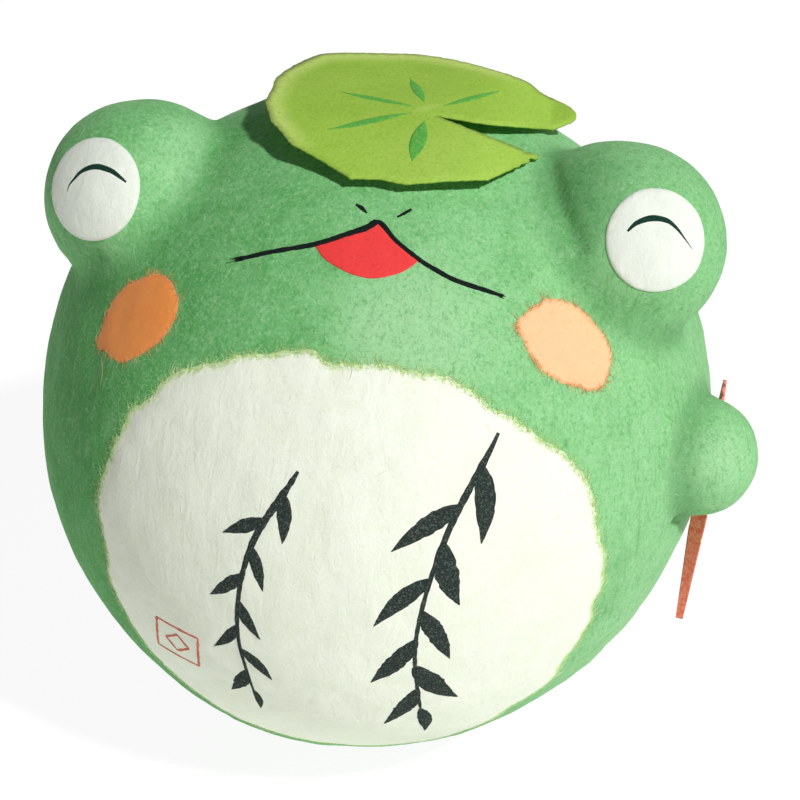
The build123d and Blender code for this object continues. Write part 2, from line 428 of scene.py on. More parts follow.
def brush_line(path, widths, base, root=0.03):
    """Closed ribbon along points of the smooth skin, sunk into what is under it."""
    path = snap(path)
    along = unit(np.gradient(path, axis=0))
    side = unit(np.cross(along, normal(path)))
    columns = [(-1, -root), (-0.85, INK), (-0.45, INK), (0, INK), (0.45, INK), (0.85, INK),
               (1, -root), (0, -root - 0.1)]
    rings = []
    for across, lift in columns:
        p = snap(path + side * (across * widths / 2)[:, None])
        rings.append(lifted(p, base + lift)[0])
    points = np.stack(rings, 1).reshape(-1, 3)
    return points, tube_faces(len(path), len(columns))


def gather(parts):
    """One list of points and faces from several."""
    points, faces, start = [], [], 0
    for p, f in parts:
        points.append(p)
        faces += [tuple(i + start for i in face) for face in f]
        start += len(p)
    return np.concatenate(points), faces


def strands(paths, normals, widths, heights):
    """Thin closed strips, one for each path. paths and normals are (strand, step, xyz)."""
    count, steps, _ = paths.shape
    along = unit(np.gradient(paths, axis=1))
    side = unit(np.cross(along, normals))
    w, h = widths[..., None], heights[..., None]
    rings = np.stack([paths - side * w, paths + normals * h, paths + side * w], 2)
    points = rings.reshape(-1, 3)
    ring = np.arange(count * steps * 3).reshape(count, steps, 3)
    quads = []
    for j in range(3):
        k = (j + 1) % 3
        quads.append(np.stack(
            [ring[:, :-1, j], ring[:, :-1, k], ring[:, 1:, k], ring[:, 1:, j]], -1).reshape(-1, 4))
    ends = np.concatenate([ring[:, 0, ::-1], ring[:, -1, :]])
    return points, np.concatenate(quads).tolist() + ends.tolist()


def wander_over_skin(rng, start, way, length, steps, bend):
    """Curved paths over the smooth skin: (strand, step, xyz)."""
    count = len(start)
    step = (length / (steps - 1))[:, None]
    turn = rng.normal(0, bend, count)
    here, heading, path = start, way, [start]
    for _ in range(steps - 1):
        n = normal(here)
        angle = turn + rng.normal(0, bend * 0.6, count)
        heading = unit(heading - n * (heading * n).sum(-1, keepdims=True))
        aside = np.cross(n, heading)
        heading = heading * np.cos(angle)[:, None] + aside * np.sin(angle)[:, None]
        here = snap(here + heading * step)
        path.append(here)
    return np.stack(path, 1)


def fibre_piece(name, rng, start, way, length, width, lift, steps, bend, slot, material):
    """Paper fibres that lie on the papered skin. lift is (count, steps)."""
    paths = wander_over_skin(rng, start, way, length, steps, bend)
    flat = paths.reshape(-1, 3)
    points, n = lifted(flat, lift.reshape(-1))
    taper = np.sin(np.linspace(0.12, math.pi - 0.12, steps))[None] ** 0.5
    widths = width[:, None] * taper
    made = strands(points.reshape(paths.shape), n.reshape(paths.shape), widths, widths * 0.9)
    own = np.repeat(rng.uniform(0, 1, len(start)), steps * 3)
    add_mesh(name, *made, slot, material, marks={"strand": own})


def linear(*srgb):
    """Colour of a picture, 0 to 255, as linear light."""
    c = np.array(srgb) / 255
    c = np.where(c <= 0.04045, c / 12.92, ((c + 0.055) / 1.055) ** 2.4)
    return (*c.tolist(), 1.0)


class Nodes:
    """A node tree being built."""

    def __init__(self, tree):
        self.tree = tree
        tree.nodes.clear()

    def add(self, kind, settings=None, inputs=None):
        made = self.tree.nodes.new(kind)
        for key, value in (settings or {}).items():
            setattr(made, key, value)
        for key, value in (inputs or {}).items():
            if isinstance(value, bpy.types.NodeSocket):
                self.tree.links.new(value, made.inputs[key])
            else:
                made.inputs[key].default_value = value
        return made

    def maths(self, operation, a, b=0.0, clamp=False):
        return self.add("ShaderNodeMath", {"operation": operation, "use_clamp": clamp},
                        {0: a, 1: b}).outputs[0]


class Look(Nodes):
    """A material being built. A colour is a socket, or red, green and blue from 0 to 255."""

    def __init__(self, name):
        self.material = bpy.data.materials.new(name)
        self.material.use_nodes = True
        super().__init__(self.material.node_tree)
        place = self.add("ShaderNodeTexCoord").outputs["Object"]
        self.mm = self.add("ShaderNodeVectorMath", {"operation": "SCALE"},
                           {0: place, "Scale": 1 / MM}).outputs[0]

    def noise(self, scale, detail=3.0, roughness=0.6, distortion=0.0, shift=0.0, stretch=None):
        place = self.mm
        if shift or stretch:
            place = self.add("ShaderNodeMapping", None, {
                "Vector": place, "Location": (shift, shift * 1.7, shift * 0.6),
                "Rotation": (shift, shift * 2, shift * 3),
                "Scale": stretch or (1.0, 1.0, 1.0)}).outputs[0]
        return self.add("ShaderNodeTexNoise", None, {
            "Vector": place, "Scale": scale, "Detail": detail, "Roughness": roughness,
            "Distortion": distortion}).outputs["Fac"]

    def mark(self, name):
        return self.add("ShaderNodeAttribute", {"attribute_name": name}).outputs["Fac"]

    def between(self, value, low, high, to_low=0.0, to_high=1.0):
        return self.add("ShaderNodeMapRange", {"interpolation_type": "SMOOTHSTEP"}, {
            "Value": value, "From Min": low, "From Max": high,
            "To Min": to_low, "To Max": to_high}).outputs[0]

    def mix(self, amount, a, b):
        a, b = (linear(*c) if isinstance(c, tuple) else c for c in (a, b))
        return self.add("ShaderNodeMix", {"data_type": "RGBA"}, {0: amount, 6: a, 7: b}).outputs[2]

    def tint(self, colour, *steps):
        """Mixes in colours. A step is a value, from where to where it acts, amount and colour."""
        for value, low, high, amount, other in steps:
            colour = self.mix(self.between(value, low, high, 0.0, amount), colour, other)
        return colour

    def total(self, *terms):
        """Sum of values, each times its factor."""
        made = self.maths("MULTIPLY", *terms[0])
        for term in terms[1:]:
            made = self.maths("ADD", made, self.maths("MULTIPLY", *term))
        return made

    def fibres(self, scale, shift, thin=0.018):
        """Thin wandering lines with gaps, 0 to 1."""
        lines = self.noise(scale, 2.0, 0.5, 1.2, shift)
        away = self.maths("ABSOLUTE", self.maths("SUBTRACT", lines, 0.5))
        line = self.between(away, 0.0, thin, 1.0, 0.0)
        gaps = self.between(self.noise(scale * 1.7, 2.0, 0.5, 0.0, shift + 3.1), 0.45, 0.62)
        return self.maths("MULTIPLY", line, gaps)

    def bump(self, height, strength, depth):
        return self.add("ShaderNodeBump", None, {
            "Height": height, "Strength": strength, "Distance": depth * MM}).outputs[0]

    def finish(self, colour, roughness, bump=None, **more):
        inputs = {"Base Color": colour, "Roughness": roughness}
        inputs.update({key.replace("_", " "): value for key, value in more.items()})
        if bump is not None:
            inputs["Normal"] = bump
        shader = self.add("ShaderNodeBsdfPrincipled", None, inputs)
        self.add("ShaderNodeOutputMaterial", None, {"Surface": shader.outputs[0]})
        return self.material


# The mark for pale green is painted light: paler where the key lamp's light falls.
PALEST = 1.4            # most that the mark for pale green says
RIM_WIDTH = 0.5         # width of the rim where a torn sheet shows another colour


def green_washi():
    """Thick fibrous green paper, mottled, with strands pressed into it, and painted light and
    shade: paler where the mark 'pale' says light falls, darker where the mark 'crease' says shade
    falls.
    """
    look = Look("green_washi")
    dark, pale = (54, 132, 58), (176, 224, 170)
    clouds = look.maths("SUBTRACT", look.noise(0.11, 3.0, 0.55, 0.6), 0.5)
    # Painted light and mottle: thin is the mark 'pale', which is painted light, plus random clouds.
    thin = look.maths("ADD", look.mark("pale"), look.maths("MULTIPLY", clouds, 1.5), True)
    colour = look.mix(thin, (82, 166, 84), (138, 206, 137))
    grain = look.noise(2.3, 5.0, 0.72, 0.9, 4.0)
    streak = look.noise(1.0, 4.0, 0.7, 1.5, 2.0, (1.0, 1.0, 0.35))
    combed = look.noise(1.1, 4.0, 0.7, 0.6, 0.0, (1.0, 1.0, 0.18))
    # The first step is painted light from the mark 'pale'; the others are the paper's own grain,
    # streaks and combing.
    colour = look.tint(
        colour, (look.mark("pale"), 0.8, PALEST, 0.6, pale),
        (grain, 0.49, 0.72, 0.55, pale), (grain, 0.53, 0.28, 0.52, dark),
        (streak, 0.54, 0.74, 0.30, pale), (streak, 0.46, 0.26, 0.40, dark),
        (combed, 0.52, 0.70, 0.25, pale), (combed, 0.48, 0.28, 0.35, dark))
    # Painted shade: the mark 'crease' darkens creases and shaded spots.
    colour = look.mix(look.maths("MULTIPLY", look.mark("crease"), 0.75), colour, (44, 116, 48))
    sheet = look.mark("tone")
    colour = look.tint(colour, (sheet, 0.0, 1.0, 0.12, pale), (sheet, 0.0, -1.0, 0.14, dark))
    strand = look.maths("MAXIMUM", look.fibres(0.42, 1.0), look.fibres(0.62, 6.0, 0.022))
    colour = look.mix(look.maths("MULTIPLY", strand, 0.30), colour, (186, 230, 178))
    bump = look.bump(look.total((grain, 0.8), (strand, 0.4), (streak, 0.6)), 0.6, 0.13)
    return look.finish(colour, 0.8, bump, Sheen_Weight=0.10, Sheen_Roughness=0.45,
                       Sheen_Tint=linear(225, 250, 215), Specular_IOR_Level=0.3)


def pale_washi(name, base, dark, rim=None, contrast=1.0):
    """Pale fibrous paper. rim is the colour where its torn edge thins out."""
    look = Look(name)
    clouds = look.between(look.noise(0.16, 3.0, 0.6, 0.8), 0.35, 0.75)
    colour = look.mix(look.maths("MULTIPLY", clouds, 0.30 * contrast), base, dark)
    grain = look.noise(1.9, 5.0, 0.7, 0.8, 4.0)
    colour = look.tint(colour, (grain, 0.50, 0.30, 0.45 * contrast, dark))
    strand = look.maths("MAXIMUM", look.fibres(0.30, 1.0, 0.014), look.fibres(0.5, 6.0, 0.018))
    colour = look.mix(look.maths("MULTIPLY", strand, 0.08 * contrast), colour, dark)
    if rim:
        uneven = look.maths("SUBTRACT", look.noise(1.6, 4.0, 0.7, 1.0, 8.0), 0.5)
        edge = look.maths("ADD", look.mark("edge"), look.maths("MULTIPLY", uneven, 1.6))
        colour = look.tint(colour, (edge, RIM_WIDTH, 0.05, 1.0, rim))
    wrinkle = look.noise(0.6, 3.0, 0.6, 0.6, 3.0, (1.0, 1.0, 0.30))
    bump = look.bump(look.total((grain, 0.7), (strand, 0.25), (wrinkle, 1.5)), 0.6, 0.15)
    return look.finish(colour, 0.78, bump, Sheen_Weight=0.15, Sheen_Roughness=0.5,
                       Specular_IOR_Level=0.3)


def fibre_look(name, first, second):
    """Loose paper fibres, each with a colour of its own between two."""
    look = Look(name)
    colour = look.mix(look.mark("strand"), first, second)
    colour = look.tint(colour, (look.noise(2.0), 0.4, 0.7, 0.3, first))
    return look.finish(colour, 0.7, Specular_IOR_Level=0.3)


def ink_look(name, colour, speck, amount):
    """Brush ink that has soaked in, with specks of paper showing."""
    look = Look(name)
    grain = look.noise(4.2, 4.0, 0.8, 0.5)
    shade = look.tint(colour, (grain, 0.50, 0.66, amount, speck))
    return look.finish(shade, 0.85, look.bump(grain, 0.4, 0.05), Specular_IOR_Level=0.12)


def red_paper_look():
    look = Look("red_paper")
    grain = look.noise(2.2, 5.0, 0.7, 0.6)
    colour = look.tint((243, 62, 62), (grain, 0.50, 0.28, 0.6, (205, 40, 44)))
    strand = look.fibres(0.6, 3.0)
    colour = look.mix(look.maths("MULTIPLY", strand, 0.3), colour, (255, 110, 100))
    bump = look.bump(look.maths("ADD", grain, strand), 0.5, 0.10)
    return look.finish(colour, 0.7, bump, Specular_IOR_Level=0.3)


def leaf_look():
    """Painted card: yellow green with a fine felt grain, paler at its rear-left rim, partly the
    card's own colour and partly painted light that the curled rim catches.
    """
    look = Look("leaf_card")
    clouds = look.between(look.noise(0.16, 3.0, 0.6, 0.5), 0.35, 0.7)
    colour = look.mix(look.maths("MULTIPLY", clouds, 0.5), (160, 200, 74), (146, 188, 58))
    # The mark 'pale' is partly painted light along the curled rim.
    colour = look.mix(look.mark("pale"), colour, (204, 226, 124))
    grain = look.noise(2.8, 5.0, 0.75, 0.4)
    colour = look.tint(colour, (grain, 0.50, 0.70, 0.45, (196, 216, 104)),
                       (grain, 0.50, 0.30, 0.45, (104, 146, 36)))
    return look.finish(colour, 0.75, look.bump(grain, 0.45, 0.08), Specular_IOR_Level=0.3)


def vein_look():
    look = Look("leaf_ink")
    grain = look.noise(2.6, 4.0, 0.7)
    colour = look.tint((80, 162, 62), (grain, 0.4, 0.65, 1.0, (106, 182, 76)))
    return look.finish(colour, 0.7, look.bump(grain, 0.4, 0.06), Specular_IOR_Level=0.3)


def fan_look():
    """Red paper with scattered gold leaf."""
    look = Look("fan_paper")
    grain = look.noise(1.6, 4.0, 0.65, 0.5)
    colour = look.tint((230, 98, 72), (grain, 0.35, 0.65, 1.0, (246, 146, 122)))
    flecks = look.add("ShaderNodeTexVoronoi", {"feature": "F1"}, {
        "Vector": look.mm, "Scale": 0.55, "Randomness": 1.0})
    size = look.between(look.noise(0.9, 3.0, 0.6, 1.0, 5.0), 0.35, 0.75, 0.04, 0.24)
    gold = look.maths("LESS_THAN", flecks.outputs["Distance"], size)
    colour = look.mix(gold, colour, (236, 196, 96))
    metal = look.maths("MULTIPLY", gold, 0.85)
    bump = look.bump(look.maths("ADD", grain, gold), 0.5, 0.06)
    return look.finish(colour, 0.5, bump, Metallic=metal, Specular_IOR_Level=0.4)


skin_material = green_washi()
belly_material = pale_washi("white_washi", (249, 254, 238), (236, 241, 214), (220, 242, 180))
eye_material = pale_washi("eye_washi", (243, 249, 237), (222, 228, 214), contrast=0.8)
# Painted light: the frog's left cheek, on the lit side, takes a paler copy of the same orange
# paper.
cheek_right_material = pale_washi(
    "orange_washi_right", (255, 158, 76), (255, 138, 58), (255, 158, 82))
cheek_left_lit_copy_material = pale_washi(
    "orange_washi_left_lit_copy", (252, 204, 156), (246, 176, 122), (244, 184, 124))
skin_fibre_material = fibre_look("green_fibres", (130, 204, 130), (170, 222, 164))
fringe_material = fibre_look("belly_fibres", (196, 238, 132), (242, 250, 214))
cream_fibre_material = fibre_look("cream_fibres", (238, 242, 222), (248, 251, 238))
cheek_fibre_material = fibre_look("orange_fibres", (246, 160, 96), (250, 200, 140))
long_hair_material = fibre_look("long_hairs", (206, 190, 120), (222, 178, 110))
ink_material = ink_look("black_ink", (14, 22, 20), (50, 70, 58), 0.3)
eye_ink_material = ink_look("eye_ink", (16, 50, 40), (64, 110, 90), 0.4)
belly_ink_material = ink_look("belly_ink", (40, 50, 47), (128, 138, 126), 0.6)
seal_material = ink_look("red_ink", (214, 112, 88), (242, 206, 182), 0.7)
red_material = red_paper_look()
leaf_material = leaf_look()
vein_material = vein_look()
fan_material = fan_look()

SKIN_GRID = 126
FRONT_GATHER = 0.28     # how much the mesh is denser on the side that shows
# Painted light and shade on the green: spots made paler where light falls (more than 0) or darker
# where shade falls; pixel, size and amount
SHADES = [((398, 335), 10.0, 0.85), ((185, 165), 8.0, 0.40), ((575, 190), 6.0, -0.58),
          ((718, 460), 5.0, 0.45), ((98, 278), 5.0, -0.55), ((56, 470), 5.0, -0.30),
          ((80, 385), 6.0, -0.30)]


def cube_sphere(n):
    """Unit directions and quads, evenly spread over a sphere."""
    t = np.tan(np.linspace(-math.pi / 4, math.pi / 4, n + 1))
    a, b = np.meshgrid(t, t, indexing="ij")
    one = np.ones_like(a)
    sides = [(one, a, b), (-one, b, a), (b, one, a), (a, -one, b), (a, b, one), (b, a, -one)]
    points = unit(np.concatenate([np.stack(s, -1).reshape(-1, 3) for s in sides]))
    corner = np.arange((n + 1) ** 2).reshape(n + 1, n + 1)
    square = np.stack(
        [corner[:-1, :-1], corner[1:, :-1], corner[1:, 1:], corner[:-1, 1:]], -1).reshape(-1, 4)
    quads = np.concatenate([square + i * (n + 1) ** 2 for i in range(6)])
    _, first, same = np.unique(np.round(points, 6), axis=0, return_index=True, return_inverse=True)
    return points[first], same.reshape(-1)[quads]


def from_middle(ways):
    """Where rays from the middle of the ball reach the skin."""
    return march(np.zeros_like(ways), ways, SKIN_NEAR, SKIN_FAR)


def make_skin():
    ways, quads = cube_sphere(SKIN_GRID)
    base = from_middle(unit(ways + FRONT_GATHER * BACK))
    points, _ = lifted(base, np.zeros(len(base)))
    under = points[:, 2] < -CENTRE_HEIGHT
    points[under] *= (-CENTRE_HEIGHT / points[under, 2])[:, None]
    on_lump = smooth(ball_distance(base) / 1.5)
    # Painted light: the mark 'pale' grows towards the camera's right, where the key lamp shines, is
    # much higher on the lit eye lump on the frog's right, and a little lower (painted shade) on the
    # lump on its left.
    pale = smooth(0.55 + 0.6 * base @ RIGHT / BALL[0])
    pale = pale + on_lump * np.where(base[:, 0] < 0, 0.6, -0.1)
    # Painted shade: the mark 'crease' darkens a band along each crease where a lump meets the ball.
    crease = np.zeros(len(base))
    for centre, radius, _ in LUMPS:
        away = np.abs(np.linalg.norm(base - centre, axis=-1) - radius) + np.abs(ball_distance(base))
        crease = np.maximum(crease, 0.8 * np.exp(-(away / 2.0) ** 2))
    # Painted light and shade from SHADES: lit spots raise 'pale', shaded spots raise 'crease'.
    for pixel, size, amount in SHADES:
        spot = np.exp(-(np.linalg.norm(base - seen([pixel]), axis=-1) / size) ** 2)
        pale = pale + max(amount, 0) * spot
        crease = np.maximum(crease, max(-amount, 0) * spot)
    add_mesh("skin", points, quads, "green_washi", skin_material, ("body",),
             {"tone": tone(base), "pale": np.minimum(pale, PALEST), "crease": crease})


def make_skin_fibres():
    rng = np.random.default_rng(31)
    steps = 6
    start = from_middle(unit(rng.normal(size=(2600, 3)) + 0.35 * BACK))
    start = start[start[:, 2] > 3 - CENTRE_HEIGHT]
    heading = rng.normal(size=start.shape)
    count = len(start)
    fibre_piece("skin_fibres", rng, start, heading, rng.uniform(1.6, 5.2, count),
                rng.uniform(0.016, 0.034, count), np.full((count, steps), -0.003), steps, 0.30,
                "green_washi", skin_fibre_material)


make_skin()
make_skin_fibres()


def add_sheet(name, plane, flat, triangles, gap, lift, slot, material, replaces):
    """Glued sheet. lift is how high its top is over the skin, gap how far its edge is."""
    top, bottom = lay(plane, flat, lift), lay(plane, flat, np.full(len(flat), SHEET_UNDER))
    add_mesh(name, *slab(top, bottom, triangles), slot, material, replaces,
             {"edge": np.concatenate([gap, gap])})


def torn_patch(name, plane, outline, slot, material, replaces, seed, feather, spacing,
               segments, tear, high=PAPER_LIFT):
    """Sheet torn along an outline. It thins out towards its edge."""
    edge = smooth_curve(outline, segments, closed=True)
    edge = ragged(edge, seed, tear, 3.5, 9.0)
    edge = ragged(edge, seed + 1, tear * 0.35, 0.7, 2.0)
    flat, triangles, gap = fill(edge, spacing, (0.22, 0.5))
    lift = TORN_LIFT + (high - TORN_LIFT) * smooth(gap / feather) ** 0.7
    add_sheet(name, plane, flat, triangles, gap, lift, slot, material, replaces)
    return edge


def fringe(name, plane, edge, count, reach, width, slot, material, seed, bend, spread, high):
    """Fibres that stick out past a torn edge."""
    rng = np.random.default_rng(seed)
    at = rng.integers(0, len(edge), count)
    outward = to_the_right(edge, 2)
    if inside_of(edge[:1] + 0.05 * outward[:1], edge)[0]:
        outward = -outward
    angle = rng.normal(0, spread, count)
    way = outward[at]
    way = np.stack([way[:, 0] * np.cos(angle) - way[:, 1] * np.sin(angle),
                    way[:, 0] * np.sin(angle) + way[:, 1] * np.cos(angle)], -1)
    foot = edge[at] - outward[at] * rng.uniform(0.1, 0.9, count)[:, None]
    base = land(plane, foot)
    heading = way[:, :1] * plane.x + way[:, 1:] * plane.y
    steps = 8
    length = rng.uniform(reach[0], reach[1], count)
    start_lift = rng.uniform(0.5, 1.0, count) * high
    end_lift = rng.uniform(0.0, 0.3, count) * high
    t = np.linspace(0, 1, steps)[None]
    lift = start_lift[:, None] * (1 - t) + end_lift[:, None] * t
    fibre_piece(name, rng, base, heading, length, rng.uniform(*width, count), lift, steps, bend,
                slot, material)


def lying_fibres(name, plane, edge, count, reach, width, slot, material, seed):
    """Fibres pressed into a patch."""
    rng = np.random.default_rng(seed)
    low, high = edge.min(0), edge.max(0)
    spots = rng.uniform(low, high, (3 * count, 2))
    spots = spots[inside_of(spots, edge)]
    closed = np.concatenate([edge, edge[:1]])
    spots = spots[to_lines(spots, closed) > reach[1] * 0.6][:count]
    count = len(spots)
    base, steps = land(plane, spots), 7
    fibre_piece(name, rng, base, rng.normal(size=(count, 3)), rng.uniform(*reach, count),
                rng.uniform(*width, count), np.full((count, steps), PAPER_LIFT - 0.015), steps,
                0.28, slot, material)


belly = Plane(-7.0, 1.0)
BELLY_OUTLINE = [
    (-6.5, 30.8), (-2.9, 30.1), (3.3, 30.4), (10.3, 29.2), (16.7, 25.4), (20.5, 23.0),
    (25.4, 18.6), (28.4, 14.4), (30.4, 7.3), (31.3, 2.8), (30.7, -6.1), (27.6, -15.7),
    (22.6, -22.0), (13.2, -28.6), (-3.0, -30.2), (-15.6, -26.4), (-24.2, -19.2), (-28.8, -11.2),
    (-30.3, -3.7), (-31.3, 2.9), (-30.7, 7.6), (-28.3, 14.9), (-25.8, 19.8), (-20.1, 25.4),
    (-16.4, 27.7),
]
belly_edge = torn_patch("belly", belly, BELLY_OUTLINE, "white_washi", belly_material,
                        ("belly_patch",), 41, 1.8, 0.62, 1100, 0.13)
fringe("belly_fringe", belly, belly_edge, 4200, (0.5, 1.9), (0.014, 0.027), "white_washi",
       fringe_material, 43, bend=0.5, spread=1.0, high=0.20)
lying_fibres("belly_fibres", belly, belly_edge, 420, (1.5, 4.5), (0.020, 0.045), "white_washi",
             cream_fibre_material, 44)

# Plane, material, seed, length of the longest fibres and outline
CHEEKS = {
    "right": (Plane(32.5, -45.3), cheek_right_material, 51, 1.6, [
        (-5.9, -6.2), (-6.1, -3.7), (-5.9, -0.2), (-3.5, 3.4), (-0.1, 5.6), (2.4, 5.5), (4.9, 3.8),
        (5.3, 1.4), (4.7, -1.6), (1.1, -5.6), (-2.9, -6.3)]),
    # The left cheek's paler paper is painted light.
    "left": (Plane(35.0, 42.5), cheek_left_lit_copy_material, 56, 1.5, [
        (-5.1, 5.1), (-0.8, 6.6), (1.4, 5.9), (3.8, 4.3), (5.8, 1.2), (6.9, -1.6), (6.7, -2.6),
        (4.8, -5.4), (2.9, -5.9), (-0.2, -4.4), (-3.6, -2.1), (-4.9, 0.3), (-5.5, 3.0)]),
}
for word, (plane, material, seed, longest, outline) in CHEEKS.items():
    edge = torn_patch(f"cheek_{word}", plane, outline, "orange_washi", material,
                      (f"{word}_cheek",), seed, 0.9, 0.4, 300, 0.14, CHEEK_LIFT)
    fringe(f"cheek_{word}_fringe", plane, edge, 420, (0.4, longest), (0.014, 0.028),
           "orange_washi", cheek_fibre_material, seed + 2, 0.3, 1.1, CHEEK_LIFT)

# A few long hairs that hang below the cheeks: pixels
LONG_HAIRS = {
    "right": [[(98, 356), (99, 370), (97, 385)]],
    "left": [[(611, 355), (619, 369), (628, 383)], [(606, 377), (612, 388), (618, 399)]],
}
for word, hairs in LONG_HAIRS.items():
    lines = [brush_line(smooth_curve(seen(hair), 20), np.linspace(0.10, 0.03, 20), 0.01)
             for hair in hairs]
    add_mesh(f"cheek_{word}_hairs", *gather(lines), "orange_washi", long_hair_material)


def cut_patch(name, plane, edge, slot, material, replaces, spacing, high=PAPER_LIFT):
    """Sheet cut along an outline, with a crisp edge."""
    flat, triangles, gap = fill(edge, spacing, (0.1, 0.3))
    lift = CUT_LIFT + (high - CUT_LIFT) * smooth(gap / 0.28) ** 0.5
    add_sheet(name, plane, flat, triangles, gap, lift, slot, material, replaces)


EYE_WHITE_RADII = {-1: 6.45, 1: 6.35}
EYE_CENTRES = {-1: (85.5, 187.5), 1: (661, 240)}      # pixels
EYE_ARCS = {
    -1: ([(65.5, 191), (68, 184.5), (73, 178.5), (81.5, 170.3), (95.5, 166.3), (109.5, 170),
          (118, 175.5), (126, 182)],
         [0.05, 0.30, 0.52, 0.70, 0.80, 0.74, 0.55, 0.25]),
    1: ([(627.5, 231), (637, 222.5), (652.5, 217.6), (668, 220), (678, 228), (685.5, 237.5),
         (693.5, 249)],
        [0.30, 0.66, 0.86, 0.72, 0.44, 0.22, 0.06]),
}
for side, word in ((-1, "right"), (1, "left")):
    middle = seen([EYE_CENTRES[side]])[0] - EYE_LUMPS[side]
    latitude = math.degrees(math.asin(middle[2] / np.linalg.norm(middle)))
    longitude = math.degrees(math.atan2(middle[0], -middle[1]))
    plane = Plane(latitude, longitude, EYE_LUMPS[side])
    turn = np.linspace(0, 2 * math.pi, 180, endpoint=False)
    disc = np.stack([np.cos(turn), np.sin(turn)], -1)
    disc = ragged(disc * EYE_WHITE_RADII[side], 61 + side, 0.02, 3.0, 9.0)
    cut_patch(f"eye_white_{word}", plane, disc, "eye_washi", eye_material,
              (f"{word}_eye_white",), 0.38)
    pixels, widths = EYE_ARCS[side]
    path = smooth_curve(seen(smooth_curve(pixels, 24)), 60)
    line = brush_line(path, spread_over(widths, 60), PAPER_LIFT)
    add_mesh(f"eye_line_{word}", *line, "black_ink", eye_ink_material, (f"{word}_eye_line",))

face = Plane(52.0, 3.0)
mouth_top = evenly([(-7.2, 1.3), (-3.0, 2.8), (-0.2, 4.6)], 30)[:-1]
mouth_right = evenly([(-0.2, 4.6), (2.5, 2.0), (5.0, 0.15)], 24)[:-1]
mouth_low = smooth_curve(
    [(5.0, 0.15), (3.8, -1.0), (2.4, -1.8), (-0.1, -2.5), (-2.4, -2.2), (-4.1, -1.5), (-6.0, -0.3),
     (-7.2, 1.3)], 50)[:-1]
mouth_edge = np.concatenate([mouth_top, mouth_right, mouth_low])
cut_patch("mouth_paper", face, mouth_edge, "red_paper", red_material, ("mouth",), 0.35,
          THIN_LIFT)


def drawn(plane, points, widths, count, seed, base, rough=0.06, root=0.03):
    """Brush line through flat points, with a slightly uneven width."""
    path = land(plane, smooth_curve(points, count))
    width = spread_over(widths, count) * (1 + Waves(seed, 20, 0.6, 2.0, rough)(path))
    return brush_line(path, width, base, root)


def bristles(plane, points, spread, count, seed, base):
    """Dry end of a brush line: separate hairs that fade out."""
    rng = np.random.default_rng(seed)
    path = np.asarray(points, float)
    run = path[-1] - path[0]
    aside = unit(np.array([-run[1], run[0]]))
    made = []
    for i in range(count):
        off = (i / (count - 1) - 0.5) * spread
        stop = rng.uniform(0.45, 1.0)
        line = evenly(path, 10)[:max(4, int(10 * stop))] + aside * off
        made.append(drawn(plane, line, [0.16, 0.13, 0.03], 14, seed + i, base, 0.2))
    return made


mouth_lines = [
    drawn(face, [(-15.9, 0.0), (-11.6, 0.7), (-6.9, 1.6), (-3.0, 3.1), (-1.3, 3.9), (-0.3, 4.75)],
          [0.50, 0.62, 0.60, 0.62, 0.72, 0.85, 0.9], 110, 71, THIN_LIFT, root=0.14),
    drawn(face, [(-0.5, 4.7), (0.4, 4.5), (2.1, 2.6), (4.8, 0.6), (7.3, -0.7), (9.9, -1.6),
                 (15.1, -2.3)],
          [0.7, 0.72, 0.62, 0.56, 0.58, 0.62, 0.64, 0.60, 0.40], 110, 72, THIN_LIFT, root=0.14),
]
mouth_lines += bristles(face, [(-15.6, 0.05), (-18.0, -0.35)], 0.50, 5, 73, 0.02)
mouth_lines += bristles(face, [(14.8, -2.28), (15.9, -2.4)], 0.40, 4, 83, 0.02)
add_mesh("mouth_brush_line", *gather(mouth_lines), "black_ink", ink_material, ("mouth_line",))

nostril_lines = [
    drawn(face, [(-2.9, 6.95), (-2.2, 6.5), (-1.5, 5.8)], [0.38, 0.62, 0.30], 20, 74, 0.0),
    drawn(face, [(2.1, 5.6), (2.9, 6.2), (3.7, 6.85)], [0.24, 0.46, 0.34], 20, 75, 0.0),
]
add_mesh("nostril_strokes", *gather(nostril_lines), "black_ink", ink_material, ("nostrils",))


def leaf_stroke(plane, foot, angle, length, width, seed):
    """One dab of the brush: blunt where it starts, pointed where it is lifted."""
    way, aside = turned(angle)
    rng = np.random.default_rng(seed)
    sag = rng.uniform(-0.06, 0.06) * length
    points = [foot + way * length * t + aside * sag * 4 * t * (1 - t) for t in np.linspace(0, 1, 7)]
    widths = np.sin(math.pi * np.linspace(0.05, 0.985, 40) ** 0.8) * width * rng.uniform(0.85, 1.1)
    return drawn(plane, points, widths, 40, seed, ON_PAPER, 0.04, 0.06)


TWIG_STEPS = 200
TWIG_WIDTHS = [0.45, 0.95, 1.0, 0.9, 0.8, 0.7, 0.65, 0.6, 0.58, 0.55, 0.5, 0.45, 0.3]
TWIG_LEAVES = 9
TWIG_LEAN = 32          # degrees between a leaf and the stem


def twig(plane, stem, size, seed):
    """A stem with leaves on its two sides in turn and a smaller one at its end."""
    line = smooth_curve(stem, TWIG_STEPS)
    made = [drawn(plane, stem, TWIG_WIDTHS, 120, seed, ON_PAPER, root=0.06)]
    for i in range(TWIG_LEAVES):
        last = i == TWIG_LEAVES - 1
        at = int((i + 0.8) / TWIG_LEAVES * (TWIG_STEPS - 1))
        way = line[min(at + 1, TWIG_STEPS - 1)] - line[at - 1]
        lean = 0 if last else (-1) ** i * math.radians(TWIG_LEAN)
        angle = math.atan2(way[1], way[0]) + lean
        length, width = (0.75 * size[0], 0.6 * size[1]) if last else size
        made.append(leaf_stroke(plane, line[at], angle, length, width, seed + 10 + i))
    return made


